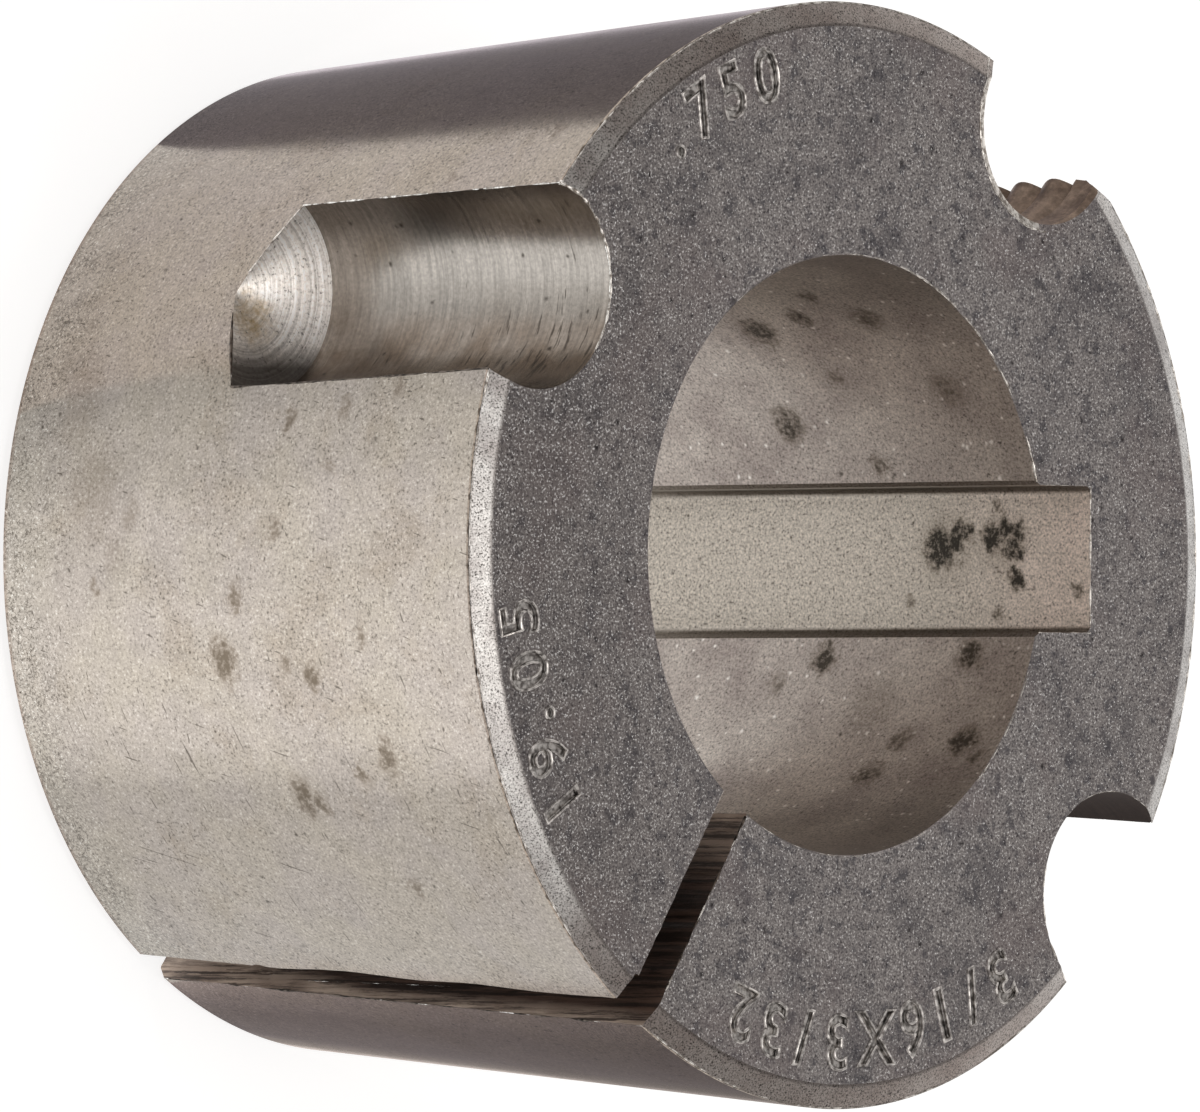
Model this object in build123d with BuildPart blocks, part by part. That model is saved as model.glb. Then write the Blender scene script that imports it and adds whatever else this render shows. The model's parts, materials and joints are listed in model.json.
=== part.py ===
from build123d import *
import math
import os

os.makedirs("parts", exist_ok=True)

# Taper bush: a conical, split clamping sleeve that a wheel hub draws onto a shaft.
# It stands on its small end, the axis along +Z, with the keyway centred on +X.
# All sizes are in millimetres and angles in degrees, counter-clockwise from +X.

# tapered body
bush_length = 22.2
large_end_diameter = 35.2  # theoretical sharp edge at the large face
taper_included_angle = 8.0
face_chamfer_width = 0.79  # across the large face
face_chamfer_depth = 0.34  # along the axis
small_end_break = 0.35

# shaft bore and its keyway
bore_diameter = 19.05  # 3/4 inch shaft
bore_edge_break = 0.12
keyway_width = 4.76  # 3/16 inch key
keyway_floor_from_axis = 11.9
keyway_corner_radius = 0.3

# half-holes for the grub screws, all on one hole circle, open through the taper
hole_circle_diameter = 33.8
plain_hole_diameter = 6.75
plain_hole_depth = 11.95  # full diameter, without the drill point
plain_hole_first_angle = 150.5
plain_hole_spacing = 169.5
drill_point_angle = 140.0

# threaded half-hole that jacks the bush out of its hub
jack_hole_angle = 55.0
jack_drill_diameter = 5.2  # tapping size for 1/4-20
jack_hole_depth = 13.0
jack_countersink_diameter = 6.9
jack_countersink_angle = 90.0

# saw cut that lets the bush close on the shaft
split_width = 1.4
split_angle = 235.3

# worked out from the sizes above
bore_radius = bore_diameter / 2
large_end_radius = large_end_diameter / 2
taper_slope = math.tan(math.radians(taper_included_angle / 2))
hole_circle_radius = hole_circle_diameter / 2
clear_of_bush = large_end_diameter  # cutters that leave the body reach this far


def outer_radius(height):
    """Radius of the taper at a height above the small end."""
    return large_end_radius - (bush_length - height) * taper_slope


def drill_point_height(diameter):
    """Height of the cone that a drill leaves at the bottom of a blind hole."""
    return diameter / 2 / math.tan(math.radians(drill_point_angle / 2))


with BuildPart() as taper_bush:
    # turned section: bore, small end, ground taper, chamfered large face
    with BuildSketch(Plane.XZ):
        with BuildLine():
            Polyline(
                (bore_radius, bore_edge_break),
                (bore_radius + bore_edge_break, 0),
                (outer_radius(0) - small_end_break, 0),
                (outer_radius(small_end_break), small_end_break),
                (outer_radius(bush_length - face_chamfer_depth), bush_length - face_chamfer_depth),
                (large_end_radius - face_chamfer_width, bush_length),
                (bore_radius + bore_edge_break, bush_length),
                (bore_radius, bush_length - bore_edge_break),
                close=True,
            )
        make_face()
    revolve(axis=Axis.Z)

    # keyway, broached the whole length, with rounded floor corners
    with BuildSketch(Plane.XY):
        keyway = Rectangle(keyway_floor_from_axis, keyway_width, align=(Align.MIN, Align.CENTER))
        floor_corners = keyway.vertices().group_by(Axis.X)[-1]
        fillet(floor_corners, radius=keyway_corner_radius)
    extrude(amount=bush_length, mode=Mode.SUBTRACT)

    # two plain half-holes with drill points, sunk from the large face
    with Locations((0, 0, bush_length)):
        with PolarLocations(
            hole_circle_radius, 2, plain_hole_first_angle, plain_hole_spacing, endpoint=True
        ):
            Hole(radius=plain_hole_diameter / 2, depth=plain_hole_depth)
    with Locations((0, 0, bush_length - plain_hole_depth)):
        with PolarLocations(
            hole_circle_radius, 2, plain_hole_first_angle, plain_hole_spacing, endpoint=True
        ):
            Cone(
                bottom_radius=0,
                top_radius=plain_hole_diameter / 2,
                height=drill_point_height(plain_hole_diameter),
                align=(Align.CENTER, Align.CENTER, Align.MAX),
                mode=Mode.SUBTRACT,
            )

    # jacking half-hole at tapping size, countersunk at its mouth
    with Locations((0, 0, bush_length)):
        with PolarLocations(hole_circle_radius, 1, jack_hole_angle):
            CounterSinkHole(
                radius=jack_drill_diameter / 2,
                counter_sink_radius=jack_countersink_diameter / 2,
                depth=jack_hole_depth,
                counter_sink_angle=jack_countersink_angle,
            )
    with Locations((0, 0, bush_length - jack_hole_depth)):
        with PolarLocations(hole_circle_radius, 1, jack_hole_angle):
            Cone(
                bottom_radius=0,
                top_radius=jack_drill_diameter / 2,
                height=drill_point_height(jack_drill_diameter),
                align=(Align.CENTER, Align.CENTER, Align.MAX),
                mode=Mode.SUBTRACT,
            )

    # saw cut through one wall, from the bore to the taper
    with BuildSketch(Plane.XY.rotated((0, 0, split_angle))):
        Rectangle(clear_of_bush, split_width, align=(Align.MIN, Align.CENTER))
    extrude(amount=bush_length, mode=Mode.SUBTRACT)

taper_bush.part.label = "taper_bush"
export_step(taper_bush.part, "parts/taper_bush.step")
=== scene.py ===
import json
import random
from functools import partial
from math import acos, asin, atan2, cos, degrees, dist, hypot, pi, radians, sin, sqrt, tan

import bmesh
import bpy
from mathutils import Matrix, Vector, geometry, noise


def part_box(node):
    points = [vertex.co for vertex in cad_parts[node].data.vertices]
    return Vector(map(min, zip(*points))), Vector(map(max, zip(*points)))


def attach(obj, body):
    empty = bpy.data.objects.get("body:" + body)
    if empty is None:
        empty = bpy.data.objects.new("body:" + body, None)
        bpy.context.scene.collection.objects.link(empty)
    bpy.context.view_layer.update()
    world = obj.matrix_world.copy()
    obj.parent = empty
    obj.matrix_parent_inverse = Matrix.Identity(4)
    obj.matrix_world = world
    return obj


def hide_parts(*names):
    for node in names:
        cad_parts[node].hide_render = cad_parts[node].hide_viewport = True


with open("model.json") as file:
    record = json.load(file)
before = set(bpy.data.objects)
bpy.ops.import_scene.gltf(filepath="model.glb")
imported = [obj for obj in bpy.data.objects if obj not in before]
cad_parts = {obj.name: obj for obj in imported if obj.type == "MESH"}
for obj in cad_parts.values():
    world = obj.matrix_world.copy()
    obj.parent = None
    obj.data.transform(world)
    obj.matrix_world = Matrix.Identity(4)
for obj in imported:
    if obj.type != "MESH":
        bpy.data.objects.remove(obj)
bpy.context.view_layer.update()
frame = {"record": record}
print("frame loaded")

mm = 0.001
fullTurn = 2 * pi
mounts = {m["name"]: m for m in frame["record"]["mounts"]}
_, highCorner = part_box("taper_bush")

# what every piece shares, in metres and radians
bush = {
    "length": highCorner.z,
    "largeRadius": 17.6 * mm,  # the sharp edge at the large face, before its chamfer
    "halfTaper": radians(4),
    "boreRadius": mounts["shaft_bore"]["dims"]["r_mm"] * mm,
    "plainHoles": [Vector(mounts["plain_half_hole_" + side]["pos_m"]) for side in ("left", "right")],
    "jackHole": Vector(mounts["jacking_half_hole"]["pos_m"]),
    "keywayFloor": 11.9 * mm,  # from the axis
}
top = bush["length"]
past = 1.5 * mm  # how far a cutter runs past what it cuts


def outerRadius(height):
    return bush["largeRadius"] - (top - height) * tan(bush["halfTaper"])


def around(radius, turn, height=0.0, centre=(0, 0)):
    # a point at an angle, in radians, about the vertical through centre
    return (centre[0] + radius * cos(turn), centre[1] + radius * sin(turn), height)


def linear(hexColour):
    values = [int(hexColour[i:i + 2], 16) / 255 for i in (0, 2, 4)]
    return [v / 12.92 if v <= 0.04045 else ((v + 0.055) / 1.055) ** 2.4 for v in values] + [1.0]


def addNode(tree, kind, *inputs, **settings):
    # inputs go to the sockets in use, in their order; settings go by name to a property or a socket. A node
    # among them stands for its first output in use
    node = tree.nodes.new("ShaderNode" + kind)
    for key in [key for key in settings if hasattr(node, key)]:
        setattr(node, key, settings.pop(key))
    used = [socket for socket in node.inputs if socket.enabled]
    named = [(node.inputs[key], value) for key, value in settings.items()]
    for socket, value in [*zip(used, inputs), *named]:
        if isinstance(value, bpy.types.Node):
            value = next(output for output in value.outputs if output.enabled)
        if isinstance(value, bpy.types.NodeSocket):
            tree.links.new(value, socket)
        else:
            socket.default_value = value
    return node


def newMaterial(name):
    material = bpy.data.materials.new(name)
    material.use_nodes = True
    material.node_tree.nodes.clear()
    return material, partial(addNode, material.node_tree)


def newSteel(name):
    # with the bush's own coordinates, in metres
    material, add = newMaterial(name)
    return material, add, add("TexCoord").outputs["Object"]


def newObject(name, data):
    made = bpy.data.objects.new(name, data)
    bpy.context.scene.collection.objects.link(made)
    return made


def evaluatedMesh(source):
    bpy.context.view_layer.update()
    return bpy.data.meshes.new_from_object(source.evaluated_get(bpy.context.evaluated_depsgraph_get()))


def meshPiece(name, bm, materials):
    bmesh.ops.remove_doubles(bm, verts=bm.verts, dist=0.001 * mm)
    bmesh.ops.recalc_face_normals(bm, faces=bm.faces)
    mesh = bpy.data.meshes.new(name)
    bm.to_mesh(mesh)
    bm.free()
    for material in materials:
        mesh.materials.append(material)
    return newObject(name, mesh)


def spinProfile(points, steps, closed=False, centre=(0, 0)):
    # points are (radius, height); the profile turns once about the vertical through centre
    bm = bmesh.new()
    x, y = centre
    verts = [bm.verts.new((x + radius, y, height)) for radius, height in points]
    edges = [bm.edges.new(pair) for pair in zip(verts, verts[1:])]
    if closed:
        edges.append(bm.edges.new((verts[-1], verts[0])))
    bmesh.ops.spin(bm, geom=verts + edges, cent=(x, y, 0), axis=(0, 0, 1), angle=fullTurn,
                   steps=steps, use_merge=True)
    bmesh.ops.remove_doubles(bm, verts=bm.verts, dist=0.001 * mm)
    return bm


def cutWith(piece, cutter):
    modifier = piece.modifiers.new("cut", "BOOLEAN")
    modifier.operation = "DIFFERENCE"
    modifier.solver = "EXACT"
    modifier.material_mode = "TRANSFER"
    modifier.object = cutter
    mesh = evaluatedMesh(piece)
    piece.modifiers.clear()
    piece.data = mesh
    bpy.data.objects.remove(cutter)


# the camera looks down on the large face from the side of the plain half holes
view = {
    "aim": (0.0, 0.05 * mm, 11.5 * mm),
    "towards": (-0.74350, -0.01417, 0.66874),  # from the aim to the lens
    "distance": 468.9 * mm,
    "up": (-0.01225, 0.99990, 0.00757),  # the bush's own +Y is up in the picture
    "lens": 436.7,
    "sensor": 36.0,
}


def makeCamera():
    data = bpy.data.cameras.new("camera")
    data.lens = view["lens"]
    data.sensor_width = view["sensor"]
    data.clip_start = 0.01
    data.clip_end = 20
    camera = newObject("camera", data)
    backward = Vector(view["towards"]).normalized()
    right = Vector(view["up"]).cross(backward).normalized()
    upward = backward.cross(right)
    stand = Matrix.Translation(Vector(view["aim"]) + backward * view["distance"])
    camera.matrix_world = stand @ Matrix((right, upward, backward)).transposed().to_4x4()
    bpy.context.scene.camera = camera


makeCamera()
print("camera placed")


def perMm(size):
    # a pattern scale from the real size of its grain, in millimetres
    return 1000 / size


def wander(add, coords, size, reach):
    # the same coordinates pushed about by noise, so that what is drawn on them has ragged edges
    push = add("TexNoise", coords, perMm(size), 3, 0.7)
    shift = add("VectorMath", push.outputs["Color"], [2 * reach * mm] * 3, [-reach * mm] * 3,
                operation="MULTIPLY_ADD")
    return add("VectorMath", coords, shift, operation="ADD")


def addPits(add, coords, cell, share, size):
    # small sharp pits: one in some of the cells, 1 at its middle and 0 outside it
    cells = add("TexVoronoi", coords, perMm(cell))
    chance = add("SeparateColor", cells.outputs["Color"])
    radius = add("MapRange", chance, 1 - share, 1, 0, size / cell)
    return add("MapRange", cells, 0, radius, 1, 0, interpolation_type="SMOOTHSTEP")


def addStains(add, coords, stains, squeeze=(1, 1, 1)):
    # corrosion stains, ragged and speckled: (place, radius, strength) in mm; 1 is fully stained
    bent = add("Mapping", wander(add, coords, 0.5, 0.55), Scale=squeeze)
    total = None
    for place, radius, strength in stains:
        middle = [v * mm * s for v, s in zip(place, squeeze)]
        away = add("VectorMath", bent, middle, operation="DISTANCE")
        spot = add("MapRange", away, 0.15 * radius * mm, radius * mm, strength, 0,
                   interpolation_type="SMOOTHSTEP")
        if total is not None:
            spot = add("Math", total, spot, operation="MAXIMUM")
        total = spot
    fine = add("TexNoise", coords, perMm(0.2), 3, 0.7)
    broken = add("MapRange", fine, 0.36, 0.62, 0.5, 1.3)
    return add("Math", total, broken, operation="MULTIPLY", use_clamp=True)


def stainOver(add, base, stained, halo, core):
    # a stain is a weak brown halo with a darker crust where it is strongest
    for colour, low, high, most in ((halo, 0.02, 0.5, 0.7), (core, 0.4, 0.9, 0.95)):
        share = add("MapRange", stained, low, high, 0, most)
        base = layOver(add, base, [(colour, share)])
    return base


def layOver(add, base, layers):
    # colours laid one over another, each as (colour, how much of it shows)
    for colour, share in layers:
        base = add("Mix", share, base, linear(colour), data_type="RGBA")
    return base


def speckled(add, base, pattern, darkest, brightest):
    # base made darker and lighter by a pattern, from darkest to brightest times its own brightness
    level = add("MapRange", pattern, 0.32, 0.68, darkest, brightest)
    return add("Mix", 1, base, level, data_type="RGBA", blend_type="MULTIPLY")


def clouded(add, coords, size, first, second, sharp=0.1):
    # two colours in soft clouds
    clouds = add("TexNoise", coords, perMm(size), 4, 0.6)
    tone = add("MapRange", clouds, 0.5 - sharp, 0.5 + sharp)
    return layOver(add, linear(first), [(second, tone)])


def roundStains(rows, radiusAt):
    # rows of (angle in degrees, height, radius, strength), put on a surface of that radius
    return [(around(radiusAt(z * mm) / mm, radians(angle), z), *rest) for angle, z, *rest in rows]


def finishSteel(material, add, colour, roughness, bump, depth, metallic=1.0):
    # the last nodes that every steel shares: its shader takes colour, roughness and a bump of a real depth
    bumped = add("Bump", Strength=1, Distance=depth, Height=bump)
    shader = add("BsdfPrincipled", colour, metallic, roughness, Normal=bumped)
    add("OutputMaterial", Surface=shader)
    return material


groundFinish = {
    "warm": "a4998d",
    "cool": "a2978e",
    "brown": "8f8172",
    "pale": "aba297",  # near the small end
    "edge": "80685a",  # at the very end
    "pit": "4b433b",
    "glint": "dcd7ce",
    "halo": "83766a",
    "core": "665a4d",
    "grain": 0.1,  # mm
    "stains": [  # angle round it, height, radius, strength
        (192, 10.4, 1.15, 0.95), (190.5, 10.0, 0.7, 0.8), (193.5, 14.4, 0.85, 0.85),
        (202, 17, 0.95, 0.85), (207, 12.6, 1.15, 0.85), (208, 13.4, 0.7, 0.7), (176, 6.3, 0.9, 0.35),
        (166, 13.2, 0.7, 0.7), (165, 15.7, 0.6, 0.5), (185, 11.2, 0.9, 0.7), (204, 15.6, 0.6, 0.9),
        (218, 16, 0.7, 0.6), (189, 16.8, 0.6, 0.6), (131, 20, 0.7, 0.6), (137, 16.5, 0.5, 0.5),
        (163, 18, 0.6, 0.5), (192, 13.2, 0.6, 0.6), (171, 15.4, 0.5, 0.5), (178, 13, 0.55, 0.6),
        (184, 4.6, 0.5, 0.6), (173, 4.6, 2.6, 0.34), (163, 3.4, 2.2, 0.26), (180, 5.6, 1.2, 0.3)],
    "scratches": [(0.25, 0.1, 0.0), (1.25, 0.5, 0.2), (1.5, 0.1, 0.7)],  # which ways their threads run
    "worms": 4.0 * mm,  # from the small end, the reach of the etched curls
    "nicked": 0.16 * mm,  # and from the rim, of the nicks
}


def makeGroundSteel():
    # ground steel gone dull in store: warm grey, mirror-like enough for clear edges in it, with fine
    # specks, brownish clouds, a few stains, and etched curls towards the small end
    finish = groundFinish
    material, add, coords = newSteel("ground_steel")
    parts = add("SeparateXYZ", coords)
    base = clouded(add, coords, 3.2, finish["warm"], finish["cool"])
    patches = add("TexNoise", coords, perMm(4), 6, 0.7, Distortion=0.4)
    grain = add("TexNoise", coords, perMm(finish["grain"]), 3, 0.7)
    tanned = add("MapRange", patches, 0.52, 0.7, 0, 0.6)
    edge = add("MapRange", parts.outputs["Z"], 0.55 * mm, 0.3 * mm, 0, 0.8)
    pale = add("MapRange", parts.outputs["Z"], 3 * mm, 0.9 * mm, 0, 0.5)
    base = layOver(add, base, [(finish["brown"], tanned), (finish["pale"], pale), (finish["edge"], edge)])
    mottle = add("TexNoise", coords, perMm(0.7), 3, 0.65)
    base = speckled(add, base, mottle, 1.07, 0.93)
    base = speckled(add, base, grain, 1.2, 0.77)
    # fine dark specks where the clouds are rough, and bright ones between them
    share = add("MapRange", patches, 0.42, 0.6, 0.35, 0.95)
    specks = add("MapRange", grain, 0.585, 0.66)
    specks = add("Math", specks, share, operation="MULTIPLY")
    glinting = add("MapRange", parts.outputs["Z"], finish["worms"], 1 * mm, 0.3, 0.8)
    glints = add("MapRange", grain, 0.4, 0.33, 0, glinting)
    ragged = wander(add, coords, 0.2, 0.12)
    pits = addPits(add, ragged, 0.65, 0.42, 0.14)
    base = layOver(add, base, [(finish["glint"], glints), (finish["pit"], specks), (finish["pit"], pits)])
    # etched curls near the small end: thin lines where a noise crosses its middle
    curls = add("TexNoise", coords, perMm(0.2), 2, Distortion=0.9)
    off = add("Math", curls, 0.5, operation="SUBTRACT")
    off = add("Math", off, operation="ABSOLUTE")
    low = add("MapRange", parts.outputs["Z"], finish["worms"], 1.2 * mm, 0, 0.75)
    thin = add("MapRange", off, 0.04, 0.01)
    etched = add("Math", thin, low, operation="MULTIPLY")
    some = add("MapRange", patches, 0.4, 0.5, 0.1)
    etched = add("Math", etched, some, operation="MULTIPLY")
    # a few thin scratches: noise drawn out into threads, three ways
    scratches = etched
    for turn in finish["scratches"]:
        drawn = add("Mapping", coords, vector_type="TEXTURE", Rotation=turn, Scale=(1, 1, 22))
        threads = add("TexNoise", drawn, perMm(0.09), 0)
        thin = add("MapRange", threads, 0.8, 0.85, 0, 0.75)
        scratches = add("Math", scratches, thin, operation="MAXIMUM")
    # the edge at the rim is nicked
    nicks = add("TexNoise", coords, perMm(0.35), 2)
    rim = add("MapRange", parts.outputs["Z"], top - 0.35 * mm - finish["nicked"], top - 0.35 * mm, 0, 0.5)
    nicks = add("Math", nicks, rim, operation="ADD")
    nicks = add("MapRange", nicks, 0.8, 0.9, 0, 0.85)
    base = layOver(add, base, [(finish["pit"], scratches), (finish["pit"], nicks)])
    stained = addStains(add, coords, roundStains(finish["stains"], outerRadius), (1, 1, 1.5))
    base = stainOver(add, base, stained, finish["halo"], finish["core"])
    roughness = add("MapRange", patches, 0.3, 0.7, 0.13, 0.2)
    hollow = add("Math", specks, -1.2, grain, operation="MULTIPLY_ADD")
    return finishSteel(material, add, base, roughness, hollow, 0.0006 * mm)


pressedFinish = {
    "light": "b9b4b1",
    "dark": "6f6a6c",
    "brown": "8b7f7e",
    "cloud": "5a585d",
    "worn": "5c5450",
    "glint": "ffffff",
    "hole": "353132",
    "grain": 0.08,  # mm
}


def makePressedSteel():
    # the sintered blank's own skin: dark blue-grey, granular and cloudy, with bright and black specks
    finish = pressedFinish
    material, add, coords = newSteel("sintered_steel")
    grain = add("TexNoise", coords, perMm(finish["grain"]), 3, 0.7)
    blotches = add("TexNoise", coords, perMm(0.5), 4, 0.7)
    tint = add("TexNoise", coords, perMm(4.5), 3, 0.6)
    clouds = add("TexNoise", coords, perMm(1.9), 5, 0.65)
    tone = add("MapRange", grain, 0.36, 0.64)
    base = layOver(add, linear(finish["dark"]), [(finish["light"], tone)])
    dim = add("MapRange", blotches, 0.53, 0.64, 0, 0.75)
    cloudy = add("MapRange", clouds, 0.5, 0.64, 0, 0.45)
    warm = add("MapRange", tint, 0.5, 0.64, 0, 0.35)
    # browner and more glittering on the side of the number's stamp
    parts = add("SeparateXYZ", coords)
    side = add("MapRange", parts.outputs["X"], -5 * mm, -14 * mm)
    worn = add("Math", side, 0.32, operation="MULTIPLY")
    lifted = add("Math", side, 0.022, grain, operation="MULTIPLY_ADD")
    specks = add("MapRange", lifted, 0.62, 0.655)
    holes = add("MapRange", grain, 0.39, 0.33, 0, 0.9)
    pits = addPits(add, wander(add, coords, 0.2, 0.12), 0.5, 0.4, 0.18)
    base = layOver(add, base, [(finish["cloud"], dim), (finish["cloud"], cloudy), (finish["brown"], warm),
                               (finish["worn"], worn), (finish["hole"], holes), (finish["hole"], pits),
                               (finish["glint"], specks)])
    roughness = add("MapRange", specks, 0, 1, 0.44, 0.2)
    height = add("Math", pits, -1.0, grain, operation="MULTIPLY_ADD")
    height = add("Math", specks, 2, height, operation="MULTIPLY_ADD")
    return finishSteel(material, add, base, roughness, height, 0.006 * mm)


coinedFinish = {
    "light": "c1c0be",
    "dark": "989492",
    "tarnish": "87756b",
    # painted shade along the chamfer's inner edge
    "paintedShadeLine": "5a5452",
    "speck": "302b28",
    "grain": 0.06,  # mm
    "inner": 16.81 * mm,  # painted shade: a dark line follows its inner edge
}


def makeCoinedSteel():
    # the chamfer coined by the press tool: brighter and flatter than the face, granular, black specks
    finish = coinedFinish
    material, add, coords = newSteel("coined_steel")
    grain = add("TexNoise", coords, perMm(finish["grain"]), 3, 0.7)
    base = clouded(add, coords, 1.6, finish["light"], finish["dark"], 0.16)
    # browner towards the top and the bottom
    parts = add("SeparateXYZ", coords)
    away = add("Math", parts.outputs["Y"], operation="ABSOLUTE")
    tarnish = add("MapRange", away, 10 * mm, 15 * mm, 0, 0.5)
    base = layOver(add, base, [(finish["tarnish"], tarnish)])
    base = speckled(add, base, grain, 0.5, 1.45)
    specks = add("MapRange", grain, 0.43, 0.385, 0, 0.95)
    pits = addPits(add, wander(add, coords, 0.2, 0.12), 0.38, 0.4, 0.1)
    flat = add("Mapping", coords, Scale=(1, 1, 0))
    radius = add("VectorMath", flat, operation="LENGTH")
    # painted shade: a thin dark line along the chamfer's inner edge
    paintedShadeLine = add("MapRange", radius, finish["inner"] + 0.1 * mm, finish["inner"] + 0.03 * mm, 0, 0.6)
    base = layOver(add, base, [(finish["paintedShadeLine"], paintedShadeLine), (finish["speck"], specks),
                               (finish["speck"], pits)])
    height = add("Math", pits, -1.0, grain, operation="MULTIPLY_ADD")
    return finishSteel(material, add, base, 0.33, height, 0.007 * mm)


boredFinish = {
    "base": "cdc4bb",
    "dim": "a49993",
    # painted shade near the bore's mouth
    "mouth": "7a6e64",
    "glint": "fffaf4",
    "halo": "7a6f63",
    "core": "3f3830",
    "stains": [  # angle round it, height, radius, strength
        (28, 12.2, 1.0, 0.8), (51, 13, 1.0, 0.95), (55, 15.2, 0.7, 0.8), (54, 18, 1.1, 0.6),
        (35, 19.5, 1.1, 0.5), (19, 15.6, 0.6, 0.6), (340, 13.3, 0.8, 0.95), (341, 19.5, 0.9, 0.9),
        (322, 20.5, 0.9, 0.95), (322, 17.8, 0.8, 0.6), (313, 17.3, 0.9, 0.7), (38, 15, 0.6, 0.5),
        (335, 11.5, 0.6, 0.5), (330, 16, 1.8, 0.25), (62, 16.5, 0.6, 0.7), (318, 21.4, 0.5, 0.7)],
}


def makeBoredSteel():
    # reamed bore: smooth and dull, faint rings round it, small rust rings and spots, and painted shade
    # towards the mouth
    finish = boredFinish
    material, add, coords = newSteel("bored_steel")
    grain = add("TexNoise", coords, perMm(0.09), 3, 0.7)
    base = clouded(add, coords, 2.6, finish["base"], finish["dim"], 0.2)
    parts = add("SeparateXYZ", coords)
    # painted shade: darker towards the mouth
    mouthward = add("MapRange", parts.outputs["Z"], 18 * mm, 21.5 * mm, 0, 0.35)
    base = layOver(add, base, [(finish["mouth"], mouthward)])
    base = speckled(add, base, grain, 1.38, 0.56)
    specks = add("MapRange", grain, 0.61, 0.68, 0, 0.7)
    ragged = wander(add, coords, 0.2, 0.1)
    pits = addPits(add, ragged, 0.7, 0.35, 0.14)
    moved = add("Mapping", ragged, Location=(2 * mm, 5 * mm, 3 * mm))
    glints = addPits(add, moved, 0.36, 0.5, 0.13)
    base = layOver(add, base, [(finish["core"], specks), (finish["core"], pits),
                               (finish["glint"], glints)])
    stained = addStains(add, coords, roundStains(finish["stains"], lambda height: bush["boreRadius"]))
    base = stainOver(add, base, stained, finish["halo"], finish["core"])
    rings = add("Mapping", coords, Scale=(0.02, 0.02, 1))
    turned = add("TexNoise", rings, perMm(0.3), 2)
    height = add("Math", turned, 0.5, grain, operation="MULTIPLY_ADD")
    return finishSteel(material, add, base, 0.33, height, 0.0012 * mm, 0.8)


broachedFinish = {
    "base": "ccc3b7",
    # lighter than the base: partly a brown tone, partly painted light towards the large end
    "brown": "e9dacf",
    "halo": "857a6c",
    "core": "2b2721",
    # dark specks and pits, and the painted shade in the corners
    "dirt_and_shade": "51473d",
    "stains": [  # place across its floor, height, radius, strength
        (0.4, 15.7, 1.15, 1.0), (0.3, 15.6, 0.8, 1.0), (0.75, 16.4, 0.75, 1.0), (0.95, 16.9, 0.6, 1.0),
        (0.75, 18.0, 0.8, 1.0), (1.05, 18.5, 0.65, 1.0), (0.3, 18.8, 0.7, 1.0), (0.9, 19.1, 0.6, 0.95),
        (-0.65, 18.95, 0.6, 1.0), (-0.98, 21.6, 0.45, 0.7), (-1.75, 18.2, 0.4, 0.7),
        (0.45, 16, 1.9, 0.34), (0.5, 18.4, 1.6, 0.32), (-1.3, 14.5, 0.4, 0.5), (1.7, 18.2, 0.4, 0.6)],
}


def makeBroachedSteel():
    # broached keyway: pale, very fine marks along it, rust bloom towards the large end and a lighter
    # brownish layer there, partly a stain tone and partly painted light; painted shade along its corners
    finish = broachedFinish
    material, add, coords = newSteel("broached_steel")
    parts = add("SeparateXYZ", coords)
    grain = add("TexNoise", coords, perMm(0.09), 3, 0.7)
    clouds = add("TexNoise", coords, perMm(1.8), 3)
    # painted light: towards the large end a layer lighter than the base, partly a brown tone and partly
    # lightened where that end lies in shade
    high = add("MapRange", parts.outputs["Z"], 15.5 * mm, 21 * mm, 0, 0.9)
    patchy = add("MapRange", clouds, 0.35, 0.6, 0.4, 1)
    brown = add("Math", high, patchy, operation="MULTIPLY")
    base = layOver(add, linear(finish["base"]), [(finish["brown"], brown)])
    base = speckled(add, base, grain, 1.36, 0.52)
    specks = add("MapRange", grain, 0.6, 0.68, 0, 0.85)
    pits = addPits(add, wander(add, coords, 0.2, 0.1), 0.6, 0.4, 0.14)
    # painted shade: darker into the corner fillets along the keyway's sides
    side = add("Math", parts.outputs["Y"], operation="ABSOLUTE")
    paintedCornerShade = add("MapRange", side, 2.12 * mm, 2.24 * mm, 0, 0.6)
    base = layOver(add, base, [(finish["dirt_and_shade"], specks), (finish["dirt_and_shade"], pits), (finish["dirt_and_shade"], paintedCornerShade)])
    floor = bush["keywayFloor"] / mm
    stained = addStains(add, coords, [((floor, y, z), *rest) for y, z, *rest in finish["stains"]])
    base = stainOver(add, base, stained, finish["halo"], finish["core"])
    drawn = add("Mapping", coords, Scale=(1, 1, 0.02))
    marks = add("TexNoise", drawn, perMm(0.1), 2)
    height = add("Math", marks, 0.6, grain, operation="MULTIPLY_ADD")
    return finishSteel(material, add, base, 0.33, height, 0.0016 * mm, 0.75)


# brown comes in between two distances under the hole's middle, in mm; the right one is dark and dull
drilledFinish = {
    "drilled_left": {"base": "a19991", "brown": "6f6154", "pit": "39322c", "from": -0.3, "to": 2.0,
                     "roughness": 0.25, "metallic": 1.0},
    "drilled_right": {"base": "3a302b", "brown": "8f7460", "pit": "241f1b", "from": -1.9, "to": -0.1,
                      "roughness": 0.5, "metallic": 0.4},
}


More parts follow.
